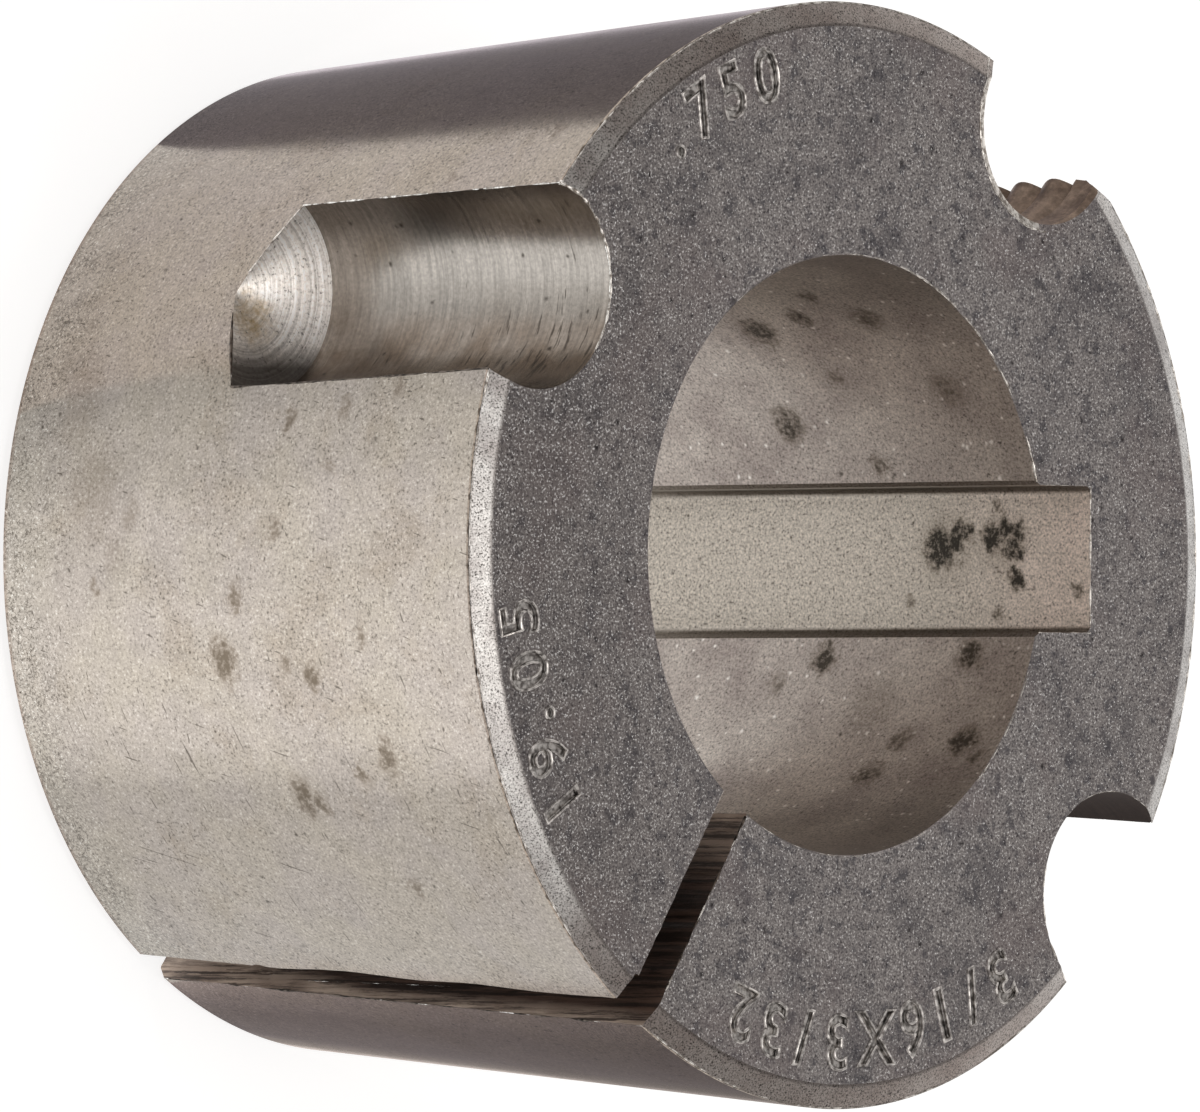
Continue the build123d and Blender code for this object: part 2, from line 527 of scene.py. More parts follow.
def makeDrilledSteel(name, centre):
    # drilled wall: burnished bands round the hole from the drill's lands, dark tears, brownish lower down
    finish = drilledFinish[name]
    material, add, coords = newSteel(name)
    parts = add("SeparateXYZ", coords)
    flat = add("Mapping", coords, Scale=(0.05, 0.05, 1))
    rings = add("TexNoise", flat, perMm(0.16), 3, 0.7)
    short = add("Mapping", wander(add, coords, 0.5, 0.06), Scale=(0.1, 0.1, 1))
    streaks = add("TexNoise", short, perMm(0.11), 3)
    grain = add("TexNoise", coords, perMm(0.14), 3, 0.7)
    clouds = add("TexNoise", coords, perMm(1.5), 3)
    lower = add("MapRange", parts.outputs["Y"], centre.y - finish["from"] * mm,
                centre.y - finish["to"] * mm, 0, 0.9)
    patchy = add("MapRange", clouds, 0.35, 0.6, 0.5, 1)
    brown = add("Math", lower, patchy, operation="MULTIPLY")
    base = layOver(add, linear(finish["base"]), [(finish["brown"], brown)])
    base = speckled(add, base, rings, 0.8, 1.2)
    base = speckled(add, base, grain, 1.14, 0.82)
    # the drill tore the lower side near the mouth
    mouthward = add("MapRange", parts.outputs["Z"], 14 * mm, 21 * mm)
    torn = add("Math", mouthward, 0.1, -0.16, operation="MULTIPLY_ADD")
    torn = add("Math", lower, 0.13, torn, operation="MULTIPLY_ADD")
    torn = add("Math", streaks, torn, operation="ADD")
    torn = add("MapRange", torn, 0.6, 0.67, 0, 0.8)
    pits = addPits(add, wander(add, coords, 0.2, 0.08), 0.6, 0.35, 0.15)
    base = layOver(add, base, [(finish["pit"], torn), (finish["pit"], pits)])
    height = add("Math", rings, 1.5, grain, operation="MULTIPLY_ADD")
    return finishSteel(material, add, base, finish["roughness"], height, 0.0006 * mm, finish["metallic"])


drillPointFinish = {
    "base": "f6f4f2",
    "brown": "e8e2dc",
    "gold": "cdb793",
    "pit": "39332e",
}


def makeDrillPointSteel(name, centre):
    # cut by the drill's lips: brighter and rougher than the wall, torn in fine rings round the point
    finish = drillPointFinish
    material, add, coords = newSteel(name)
    centred = add("Mapping", wander(add, coords, 0.8, 0.05), Location=(-centre.x, -centre.y, 0),
                  Scale=(1, 1, 0))
    away = add("VectorMath", centred, operation="LENGTH")
    rings = add("TexNoise", away, perMm(0.16), 3, 0.75, noise_dimensions="1D")
    grain = add("TexNoise", coords, perMm(0.13), 3, 0.7)
    base = clouded(add, coords, 1.2, finish["base"], finish["brown"], 0.25)
    base = speckled(add, base, rings, 0.74, 1.3)
    base = speckled(add, base, grain, 1.3, 0.78)
    specks = add("MapRange", grain, 0.62, 0.69, 0, 0.8)
    place = (centre.x / mm + 0.5, centre.y / mm - 0.9, 9.4)
    gilt = addStains(add, coords, [(place, 1.2, 0.75)])
    # chips packed into its lower side
    parts = add("SeparateXYZ", coords)
    packed = add("MapRange", parts.outputs["Y"], centre.y - 1.6 * mm, centre.y - 2.5 * mm, 0, 0.88)
    base = layOver(add, base, [(finish["gold"], gilt), (finish["pit"], packed), (finish["pit"], specks)])
    height = add("Math", rings, 2, grain, operation="MULTIPLY_ADD")
    return finishSteel(material, add, base, 0.38, height, 0.005 * mm, 0.75)


tappedFinish = {
    "base": "917e6f",
    "dim": "6e5d51",
}


def makeTappedSteel():
    # tapped thread: torn, dull and brownish on the flanks
    finish = tappedFinish
    material, add, coords = newSteel("tapped_steel")
    grain = add("TexNoise", coords, perMm(0.16), 3, 0.65)
    base = clouded(add, coords, 0.9, finish["base"], finish["dim"], 0.12)
    base = speckled(add, base, grain, 0.72, 1.25)
    return finishSteel(material, add, base, 0.5, grain, 0.004 * mm, 0.6)


sawnFinish = {
    "deep_dark": "2d2420",
    "ridge": "665146",
    "bare": "c9b6a6",
}


def makeSawnSteel():
    # sawn slit: near black deep inside, bare on the ridges of the saw's teeth near both its mouths
    finish = sawnFinish
    material, add, coords = newSteel("sawn_steel")
    drawn = add("Mapping", wander(add, coords, 0.6, 0.04), Scale=(1, 1, 0.03))
    ridges = add("TexNoise", drawn, perMm(0.2), 4, 0.75)
    grain = add("TexNoise", coords, perMm(0.1), 2)
    clouds = add("TexNoise", coords, perMm(2), 3)
    flat = add("Mapping", coords, Scale=(1, 1, 0))
    radius = add("VectorMath", flat, operation="LENGTH")
    parts = add("SeparateXYZ", coords)
    under = add("Math", parts.outputs["Z"], -tan(bush["halfTaper"]), radius, operation="MULTIPLY_ADD")
    # more of it is bare towards the small end
    low = add("MapRange", parts.outputs["Z"], 9 * mm, 1 * mm, 0, 1.1 * mm)
    under = add("Math", under, low, operation="ADD")
    outward = add("MapRange", under, outerRadius(0) - 0.6 * mm, outerRadius(0) - 0.1 * mm)
    inward = add("MapRange", radius, 12.2 * mm, 10.2 * mm, 0, 0.75)
    bare = add("Math", outward, inward, operation="MAXIMUM")
    patchy = add("MapRange", clouds, 0.35, 0.6, 0.5)
    bare = add("Math", bare, patchy, operation="MULTIPLY")
    bright = add("MapRange", ridges, 0.44, 0.57, 0.1)
    shown = add("Math", bright, bare, operation="MULTIPLY")
    base = layOver(add, linear(finish["deep_dark"]), [(finish["ridge"], bright)])
    base = layOver(add, base, [(finish["bare"], shown)])
    height = add("Math", ridges, 2, grain, operation="MULTIPLY_ADD")
    return finishSteel(material, add, base, 0.42, height, 0.008 * mm, 0.45)


def makeBurnishedSteel(name, light, dark, roughness):
    # metal squeezed or torn up by a tool: a finish of its own along the edges, broken by dark specks
    material, add, coords = newSteel(name)
    grain = add("TexNoise", coords, perMm(0.2), 2)
    tone = add("MapRange", grain, 0.38, 0.6)
    base = layOver(add, linear(dark), [(light, tone)])
    return finishSteel(material, add, base, roughness, grain, 0.004 * mm)


groundSteel = makeGroundSteel()
pressedSteel = makePressedSteel()
coinedSteel = makeCoinedSteel()
boredSteel = makeBoredSteel()
broachedSteel = makeBroachedSteel()
drilledSteels = [makeDrilledSteel(*each) for each in zip(drilledFinish, bush["plainHoles"])]
drillPointSteels = [makeDrillPointSteel(*each)
                    for each in zip(("drill_point_left", "drill_point_right"), bush["plainHoles"])]
tappedSteel = makeTappedSteel()
sawnSteel = makeSawnSteel()
stampedSteel = makeBurnishedSteel("stamped_steel", "e4e0dc", "7d7875", 0.3)
burrSteel = makeBurnishedSteel("burr_steel", "f4f0ea", "8d857d", 0.25)
tornSteel = makeBurnishedSteel("torn_steel", "6a6058", "2a2521", 0.4)
print("steels made")

body = {
    "steps": 720,
    "faceDrop": 0.06 * mm,  # the face lies this much under the CAD's, so that burrs stay inside its box
    "chamferWidth": 0.79 * mm,
    "chamferDepth": 0.285 * mm,
    "smallEndBreak": 0.35 * mm,
    "boreBreak": 0.07 * mm,
    "rimGroove": 0.035 * mm,  # fine grooves either side of the rim
    "loopSpacing": 1.1 * mm,
}
faceHeight = top - body["faceDrop"]
rimHeight = faceHeight - body["chamferDepth"]
rimRadius = outerRadius(rimHeight)
faceEdge = rimRadius - body["chamferWidth"]


def steady(start, end, spacing):
    # points from start to end, with a loop close to each so that smooth shading holds the surface true
    near = 0.05 * mm
    length = dist(start, end)
    count = max(1, round((length - 2 * near) / spacing))
    between = 1 - 2 * near / length
    shares = [0, near / length] + [near / length + between * i / count for i in range(1, count)]
    shares += [1 - near / length, 1]
    return [tuple(a + (b - a) * share for a, b in zip(start, end)) for share in shares]


def makeBlank():
    bore = bush["boreRadius"]
    spacing = body["loopSpacing"]
    broken = body["boreBreak"]
    groove = body["rimGroove"]
    rise = body["chamferDepth"] / body["chamferWidth"]
    points = steady((bore, faceHeight - broken), (bore, broken), spacing)
    points += steady((bore + broken, 0), (outerRadius(0) - body["smallEndBreak"], 0), 3 * mm)
    points += steady((outerRadius(body["smallEndBreak"]), body["smallEndBreak"]),
                     (outerRadius(rimHeight - 3 * groove), rimHeight - 3 * groove), spacing)
    points += [(rimRadius - groove, rimHeight - 1.5 * groove), (rimRadius, rimHeight),
               (rimRadius - 1.5 * groove, rimHeight + 0.2 * groove),
               (rimRadius - 3 * groove, rimHeight + 3 * groove * rise)]
    points += [(faceEdge + 0.05 * mm, faceHeight - 0.05 * mm * rise)]
    points += steady((faceEdge, faceHeight), (bore + broken, faceHeight), 3 * mm)
    bm = spinProfile(points, body["steps"], closed=True)
    corner = [e for e in bm.edges if all(abs(v.co.xy.length - faceEdge) < 0.005 * mm
                                         and v.co.z > faceHeight - 0.01 * mm for v in e.verts)]
    bmesh.ops.bevel(bm, geom=corner, offset=0.045 * mm, offset_type="OFFSET", segments=4, profile=0.5,
                    affect="EDGES", material=-1)
    for face in bm.faces:
        centre = face.calc_center_median()
        radius = centre.xy.length
        if radius < bore + 0.2 * broken:
            face.material_index = 3
        elif radius > faceEdge + 0.01 * mm and centre.z > rimHeight:
            face.material_index = 2
        elif centre.z > rimHeight or centre.z < 0.1 * mm:
            face.material_index = 1
        else:
            face.material_index = 0
    return meshPiece("bush_body", bm, [groundSteel, pressedSteel, coinedSteel, boredSteel])


keyway = {
    "width": 4.76 * mm,
    "cornerRadius": 0.3 * mm,
    "lipBreak": 0.1 * mm,
}


def makeKeywayCutter():
    half = keyway["width"] / 2
    flare = keyway["lipBreak"]
    wall = sqrt(bush["boreRadius"] ** 2 - half ** 2)  # where its sides meet the bore
    side = [(wall - 4 * flare, half + 5 * flare), (wall + flare, half), (bush["keywayFloor"], half)]
    outline = side + [(x, -y) for x, y in reversed(side)]
    bm = bmesh.new()
    verts = [bm.verts.new((x, y, -past)) for x, y in outline]
    face = bm.faces.new(verts)
    made = bmesh.ops.extrude_face_region(bm, geom=[face])
    bmesh.ops.translate(bm, vec=(0, 0, top + 2 * past),
                        verts=[v for v in made["geom"] if isinstance(v, bmesh.types.BMVert)])
    corners = [e for e in bm.edges if all(abs(v.co.x - bush["keywayFloor"]) < 0.01 * mm for v in e.verts)
               and e.verts[0].co.y == e.verts[1].co.y]
    bmesh.ops.bevel(bm, geom=corners, offset=keyway["cornerRadius"], offset_type="OFFSET", segments=6,
                    profile=0.5, affect="EDGES", material=-1)
    for share in (0.12, 0.5, 0.88):  # loops across the floor keep its shading flat
        bmesh.ops.bisect_plane(bm, geom=bm.verts[:] + bm.edges[:] + bm.faces[:],
                               plane_co=(0, (share - 0.5) * keyway["width"], 0), plane_no=(0, 1, 0))
    return meshPiece("keyway_cutter", bm, [broachedSteel])


plainHole = {
    "radius": 3.375 * mm,
    "depth": 11.95 * mm,
    "pointAngle": radians(140),
    "pointSteps": 44,
    "steps": 180,
    "ringSpacing": 0.09 * mm,
    "deepFrom": 0.45,  # the share of its depth above which the odd tool mark is deep, and how often
    "deepOften": 0.16,
    "mouthRidge": 0.016 * mm,
    "deepRidge": 0.0012 * mm,
    "pointRidge": 0.005 * mm,
}


def makePlainHoleCutter(place, seed, materials):
    picker = random.Random(seed)
    radius = plainHole["radius"]
    bottom = top - plainHole["depth"]
    tip = bottom - radius / tan(plainHole["pointAngle"] / 2)
    points = [(0, tip)]
    for i in range(1, plainHole["pointSteps"]):
        share = i / plainHole["pointSteps"]
        height = tip + (bottom - tip) * share
        points.append((radius * share, height + picker.uniform(-1, 1) * plainHole["pointRidge"]))
    points.append((radius, bottom))
    rings = int(plainHole["depth"] / plainHole["ringSpacing"])
    for i in range(1, rings):
        share = i / rings
        deep = share > plainHole["deepFrom"] and picker.random() < plainHole["deepOften"]
        ridge = plainHole["mouthRidge"] * share if deep else plainHole["deepRidge"]
        points.append((radius + picker.uniform(-1, 1) * ridge, bottom + plainHole["depth"] * share))
    points += [(radius, top), (radius, top + past), (0, top + past)]
    bm = spinProfile(points, plainHole["steps"], centre=place.xy)
    for face in bm.faces:
        face.material_index = 1 if face.calc_center_median().z < bottom else 0
    return meshPiece("plain_hole_cutter", bm, materials)


jackHole = {
    "majorRadius": 3.32 * mm,  # a quarter inch, 20 threads to the inch, with its crests worn down
    "minorRadius": 2.98 * mm,
    "pitch": 1.27 * mm,
    "crestShift": 0.25 * mm,
    "crestSteps": 10,
    "depth": 13.0 * mm,
    "mouthRadius": 3.38 * mm,
    "bandWidth": 0.24 * mm,  # a burnished band breaks the mouth's edge
    "bandDepth": 0.06 * mm,
    "bandBright": (140, 262),  # degrees round the hole
    "worn": [(2.98 * mm, 1.7 * mm), (3.2 * mm, 0.85 * mm)],  # radius and depth of the first, worn crests
    "outward": 0.08 * mm,  # how far its thread stands out from the drilled middle
    # wear took off the corner between its thread and the rim, on the keyway's side: how far along the
    # rim, round the hole and down the thread's edge, and how uneven it is
    "wornAlong": 1.1 * mm,
    "wornRound": 0.3 * mm,
    "wornDown": 0.5 * mm,
    "wornRough": 0.03 * mm,
    "wornReach": 3 * mm,  # the size of what cuts it off
    "pointAngle": radians(140),
    "stepsPerTurn": 96,
}


def jackMiddle():
    middle = bush["jackHole"].xy
    return middle + middle.normalized() * jackHole["outward"]


def makeThreadCutter():
    # rounded crests and narrow roots
    x, y = jackMiddle()
    pitch = jackHole["pitch"]
    major, minor = jackHole["majorRadius"], jackHole["minorRadius"]
    crestSteps = jackHole["crestSteps"]
    profile = []
    for i in range(crestSteps + 1):
        radius = major - (major - minor) * sin(pi * i / crestSteps)
        profile.append((radius, pitch * i / crestSteps + jackHole["crestShift"]))
    turns = int(jackHole["depth"] / pitch) + 4
    steps = jackHole["stepsPerTurn"]
    bottom = top - jackHole["depth"]
    bm = bmesh.new()
    verts = [bm.verts.new((x + radius, y, bottom - 2 * pitch + height)) for radius, height in profile]
    edges = [bm.edges.new(pair) for pair in zip(verts, verts[1:])]
    bmesh.ops.spin(bm, geom=verts + edges, cent=(x, y, 0), axis=(0, 0, 1), dvec=(0, 0, pitch / steps),
                   angle=fullTurn * turns, steps=steps * turns)
    bmesh.ops.remove_doubles(bm, verts=bm.verts, dist=0.002 * mm)
    for height, upward in ((bottom, -1), (top + past, 1)):
        bmesh.ops.bisect_plane(bm, geom=bm.verts[:] + bm.edges[:] + bm.faces[:], plane_co=(x, y, height),
                               plane_no=(0, 0, upward), clear_outer=True)
        rim = [e for e in bm.edges
               if e.is_boundary and all(abs(v.co.z - height) < 0.001 * mm for v in e.verts)]
        bmesh.ops.contextual_create(bm, geom=rim)
    return meshPiece("thread_cutter", bm, [tappedSteel])


def makeJackDrillCutter():
    radius = jackHole["minorRadius"]
    wide = jackHole["mouthRadius"]
    bottom = top - jackHole["depth"]
    tip = bottom - radius / tan(jackHole["pointAngle"] / 2)
    throat, under = wide - jackHole["bandWidth"], faceHeight - jackHole["bandDepth"]
    points = [(0, tip), (radius, bottom)] + [(worn, top - deep) for worn, deep in jackHole["worn"]]
    points += [(throat, under), (wide, faceHeight), (wide, top + past), (0, top + past)]
    bm = spinProfile(points, jackHole["stepsPerTurn"], centre=jackMiddle())
    brightFrom, brightTo = jackHole["bandBright"]
    for face in bm.faces:
        place = face.calc_center_median()
        if under < place.z < faceHeight:
            away = place.xy - jackMiddle()
            turn = degrees(atan2(away.y, away.x)) % 360
            face.material_index = 1 if brightFrom < turn < brightTo else 2
    return meshPiece("jack_drill_cutter", bm, [tappedSteel, burrSteel, pressedSteel])


def makeWornCornerCutter():
    # a slightly uneven cube whose lower face passes through three places round the corner
    middle = jackMiddle()
    half = crossing(rimRadius, middle, jackHole["worn"][1][0])
    turn = atan2(middle.y, middle.x) - radians(half)
    corner = Vector(around(rimRadius, turn, rimHeight))
    alongRim = Vector((sin(turn), -cos(turn), 0))
    away = (corner.xy - middle).normalized()
    roundHole = Vector((away.y, -away.x, 0))
    places = [corner + alongRim * jackHole["wornAlong"], corner + roundHole * jackHole["wornRound"],
              corner - Vector((0, 0, jackHole["wornDown"]))]
    outward = geometry.normal(places)
    if outward.dot(corner) < 0:
        outward.negate()
    size = jackHole["wornReach"]
    stand = Matrix.Translation(corner - outward * outward.dot(corner - places[0]) + outward * size / 2)
    tilt = outward.to_track_quat("Z", "Y").to_matrix().to_4x4()
    bm = bmesh.new()
    bmesh.ops.create_cube(bm, size=size, matrix=stand @ tilt)
    bmesh.ops.subdivide_edges(bm, edges=bm.edges, cuts=16, use_grid_fill=True)
    for vert in bm.verts:
        vert.co += outward * jackHole["wornRough"] * noise.noise(vert.co / mm * 2.5)
    return meshPiece("worn_corner_cutter", bm, [coinedSteel])


split = {
    "angle": radians(235.3),
    "width": 1.34 * mm,
    "inner": 7 * mm,
    "outer": 19.5 * mm,
    "cell": 0.13 * mm,
    "sawMark": 0.035 * mm,
    "torn": 0.02 * mm,
    "stepStart": 16.55 * mm,  # outside this the first saw pass left one side wider
    "stepDepth": 0.2 * mm,
}


def makeSplitCutter():
    bm = bmesh.new()
    length = split["outer"] - split["inner"]
    height = top + 2 * past
    upright = Matrix.Rotation(pi / 2, 4, "X")
    for side in (-1, 1):
        stand = Matrix.Translation((split["inner"] + length / 2, side * split["width"] / 2, top / 2))
        bmesh.ops.create_grid(bm, x_segments=round(length / split["cell"]),
                              y_segments=round(height / split["cell"] / 3), size=0.5,
                              matrix=stand @ upright @ Matrix.Diagonal((length, height, 1, 1)))
    rims = [e for e in bm.edges if e.is_boundary]
    for vert in bm.verts:
        if vert.is_boundary:
            continue
        x, y, z = vert.co / mm
        along = noise.noise(Vector((x * 2.6, y * 5, z * 0.09)))
        along += 0.6 * noise.noise(Vector((x * 6.1, y * 5 + 9, z * 0.16)))
        torn = noise.noise(Vector((x * 3, y * 7 + 4, z * 2.3)))
        vert.co.y += along * split["sawMark"] + torn * split["torn"]
        if y < 0 and vert.co.x > split["stepStart"] + torn * 0.15 * mm:
            ragged = 0.75 + 0.5 * noise.noise(Vector((2, z * 0.35, 5)))
            vert.co.y -= split["stepDepth"] * ragged
    bmesh.ops.bridge_loops(bm, edges=rims)
    bmesh.ops.rotate(bm, verts=bm.verts, cent=(0, 0, 0), matrix=Matrix.Rotation(split["angle"], 3, "Z"))
    return meshPiece("split_cutter", bm, [sawnSteel])


# plain sizes struck into the face with number punches: tops outwards, read clockwise
stamps = {
    "height": 1.75 * mm,
    "depth": 0.12 * mm,
    "weight": 0.05 * mm,  # how much bolder than the plain letter shapes
    "edge": 0.055 * mm,
    "tilt": 4,  # degrees, and how far they stray: struck one by one, by hand
    "stray": 0.08 * mm,
    "groups": [  # marks, radius of their middle, angle of each
        (".750", 15.5, (122.8, 117.2, 111.2, 105.0)),
        ("19.05", 15.55, (210.2, 204.2, 199.6, 194.0, 187.8)),
        ("3/16X3/32", 15.3, (299, 293.2, 287.4, 281.8, 275, 268, 262, 256.4, 250.6)),
    ],
}


def makeStampShape(outlineOnly):
    # one mesh for all the marks: solid for the cut, or only thin lips that follow the outlines
    bm = bmesh.new()
    picker = random.Random(11)
    for marks, radius, angles in stamps["groups"]:
        for mark, angle in zip(marks, angles):
            data = bpy.data.curves.new("mark", "FONT")
            data.body = mark
            data.align_x = data.align_y = "CENTER"
            data.resolution_u = 4
            data.size = stamps["height"] * 1.36  # a letter size, of which a figure takes this share
            data.bevel_depth = stamps["edge"]
            if outlineOnly:
                data.fill_mode = "NONE"
                data.offset = stamps["weight"]
                data.bevel_resolution = 1
                height = faceHeight - 0.12 * stamps["edge"]
            else:
                data.extrude = stamps["depth"] * 2
                data.offset = stamps["weight"] - stamps["edge"]
                data.bevel_resolution = 2
                height = faceHeight + stamps["depth"] + stamps["edge"]
            letter = newObject("mark", data)
            mesh = evaluatedMesh(letter)
            tilt = radians(angle - 90 + picker.uniform(-1, 1) * stamps["tilt"])
            away = radius * mm + picker.uniform(-1, 1) * stamps["stray"]
            place = around(away, radians(angle), height)
            mesh.transform(Matrix.Translation(place) @ Matrix.Rotation(tilt, 4, "Z"))
            bm.from_mesh(mesh)
            bpy.data.objects.remove(letter)
            bpy.data.meshes.remove(mesh)
    return bm


def onTop(radius):
    # the height of the large end at a radius, over the face and down its chamfer
    return faceHeight - max(0, radius - faceEdge) * body["chamferDepth"] / body["chamferWidth"]


def arc(radius, start, end):
    # round the bush's own axis on its large end, in degrees
    count = max(2, int(radians(end - start) * radius / burr["step"]))
    angles = [radians(start + (end - start) * i / count) for i in range(count + 1)]
    return [Vector(around(radius, angle, onTop(radius))) for angle in angles]


def crossing(radius, centre, holeRadius):
    # half the angle, in degrees, that a hole takes out of a circle about the bush's axis
    away = centre.xy.length
    return degrees(acos((radius ** 2 + away ** 2 - holeRadius ** 2) / (2 * radius * away)))


def mouth(centre, holeRadius):
    # the edge of a half hole on the large end, out to the rim
    away = centre.xy.length
    reach = acos((rimRadius ** 2 - away ** 2 - holeRadius ** 2) / (2 * away * holeRadius))
    outward = atan2(centre.y, centre.x)
    count = int((fullTurn - 2 * reach) * holeRadius / burr["step"])
    points = []
    for i in range(count + 1):
        turn = outward + reach + (fullTurn - 2 * reach) * i / count
        x, y, _ = around(holeRadius, turn, 0, centre)
        points.append(Vector((x, y, onTop(hypot(x, y)))))
    return points


def holeSide(centre, side, bottom, upTo):
    # where a half hole's wall, or the cone under it, runs out through the taper
    away = centre.xy.length
    outward = atan2(centre.y, centre.x)
    floor = top - plainHole["depth"]
    rise = tan(plainHole["pointAngle"] / 2)
    count = int((upTo - bottom) / burr["step"]) + 1
    points = []
    for i in range(count + 1):
        height = bottom + (upTo - bottom) * i / count
        radius = plainHole["radius"] + min(0, height - floor) * rise
        reach = acos((outerRadius(height) ** 2 - away ** 2 - radius ** 2) / (2 * away * radius))
        points.append(Vector(around(radius, outward + side * reach, height, centre)))
    return points


def line(start, end):
    start, end = Vector(start), Vector(end)
    count = max(2, int((end - start).length / burr["step"]))
    return [start.lerp(end, i / count) for i in range(count + 1)]


burr = {
    "step": 0.07 * mm,
    "thickness": 0.045 * mm,
    "inside": 0.045 * mm,  # how far inside the rim it runs, and the nicks
    "nickInside": 0.055 * mm,
    "above": 0.4 * mm,  # where it starts up the slit
    "conePart": 0.95 * mm,  # how far it follows the drill's cone
    "sunk": 0.022 * mm,  # how far the middle of one that is 1 thick lies under the edge
    "patch": 1.1,  # how often along an edge the burr comes and goes, per mm
    "nickThickness": 0.04 * mm,
}


def rimStretches():
    # the rim's angles, from each thing that cuts it to the next
    left, right = bush["plainHoles"]
    drill = plainHole["radius"]
    worn = degrees(jackHole["wornAlong"] / rimRadius)
    breaks = []
    holes = [(left, drill, 0), (right, drill, 0), (bush["jackHole"], jackHole["mouthRadius"], worn)]
    for centre, radius, lost in holes:
        middle = degrees(atan2(centre.y, centre.x)) % 360
        half = crossing(rimRadius, centre, radius)
        breaks.append((middle - half - lost, middle + half))
    cut = degrees(split["angle"])
    slit = degrees(split["width"] / 2 / rimRadius)
    breaks.append((cut - slit - 0.7, cut + slit))
    breaks.sort()
    return [(start, end) for (_, start), (end, _) in zip(breaks, breaks[1:] + [(breaks[0][0] + 360, 0)])]


def slitSide():
    # one long edge of the slit, on the taper
    low = burr["above"]
    return line(splitEdge(1, outerRadius(low), low), splitEdge(1, rimRadius, rimHeight))


def brightEdges():
    # where tools pushed a thin bright burr up: points, how thick, how much of the edge it covers
    left, right = bush["plainHoles"]
    drill = plainHole["radius"]
    floor = top - plainHole["depth"]
    cone = floor - burr["conePart"]
    paths = [(arc(rimRadius - burr["inside"], *ends), 0.9, 0.62) for ends in rimStretches()]
    edge = mouth(left, drill)
    paths += [(edge[:76], 0.5, 0.3), (edge[70:92], 0.8, 0.6), (edge[90:-24], 1.2, 0.95)]
    paths.append((edge[-26:], 1.7, 1.0))
    edge = mouth(right, drill)
    paths += [(edge[:60], 0.5, 0.5), (edge[60:100], 0.6, 0.35), (edge[100:], 0.9, 0.8)]
    sides = [(-1, floor, rimHeight, 0.9, 0.6), (-1, cone, floor, 0.9, 0.6), (1, cone, floor, 0.6, 0.5),
             (1, floor, rimHeight, 0.4, 0.3)]
    for centre in (left, right):
        paths += [(holeSide(centre, *where), thick, cover) for *where, thick, cover in sides]
    edge = mouth(jackMiddle(), jackHole["mouthRadius"])
    paths += [(edge[:70], 1.1, 0.9), (edge[64:108], 1.0, 0.9), (edge[100:-6], 0.5, 0.3)]
    rimTurn = bush["boreRadius"] + 0.04 * mm
    slot = degrees(asin(keyway["width"] / 2 / rimTurn)) + 0.6
    cut = degrees(split["angle"])
    cutHalf = degrees(split["width"] / 2 / rimTurn) + 0.3
    arcs = [(slot, 75, 1.1, 0.7), (75, 125, 1.0, 0.5), (125, cut - cutHalf, 0.6, 0.38),
            (cut + cutHalf, 360 - slot, 0.8, 0.5)]
    for start, end, thick, cover in arcs:
        lowered = [place - Vector((0, 0, 0.03 * mm)) for place in arc(rimTurn, start, end)]
        paths.append((lowered, thick, cover))
    half = keyway["width"] / 2
    end = bush["keywayFloor"]
    wall = sqrt(bush["boreRadius"] ** 2 - half ** 2) + keyway["lipBreak"]
    corners = [(x, y, faceHeight) for x, y in ((wall, half), (end, half), (end, -half), (wall, -half))]
    paths += [(line(*ends), 0.9, 0.55) for ends in zip(corners, corners[1:])]
    for side, thick in ((-1, 0.5), (1, 0.9)):
        low, high = (splitEdge(side, radius, faceHeight) for radius in (rimTurn, split["stepStart"]))
        paths.append((line(low, high), thick, 0.45))
    paths.append((slitSide(), 0.5, 0.42))
    # and a line of saw burr a little way down the slit
    low = splitEdge(1, outerRadius(4 * mm) - 0.3 * mm, 4 * mm)
    high = splitEdge(1, outerRadius(13 * mm) - 0.75 * mm, 13 * mm)
    paths.append((line(low, high), 0.45, 0.4))
    return paths


def darkEdges():
    # where an edge is nicked or torn, and dark
    left, right = bush["plainHoles"]
    floor = top - plainHole["depth"]
    paths = [(arc(rimRadius - burr["nickInside"], *ends), 0.95, 0.55) for ends in rimStretches()]
    for points, _, _ in paths:
        for point in points:
            point.z -= 0.09 * mm
    sides = [(1, floor - burr["conePart"], floor, 1.2, 0.8), (1, floor, rimHeight, 1.0, 0.62),
             (-1, floor, rimHeight, 0.6, 0.4)]
    paths += [(holeSide(left, *where), thick, cover) for *where, thick, cover in sides]
    paths.append((mouth(left, plainHole["radius"]), 0.7, 0.3))
    low, high = (splitEdge(1, radius, faceHeight) for radius in (bush["boreRadius"] + 0.1 * mm, faceEdge))
    paths += [(line(low, high), 1.3, 0.6), (slitSide(), 1.0, 0.5)]
    return paths


def splitEdge(side, radius, height):
    outward = Vector(around(1, split["angle"]))
    across = Vector((-outward.y, outward.x, 0))
    return outward * radius + across * side * split["width"] / 2 + Vector((0, 0, height))


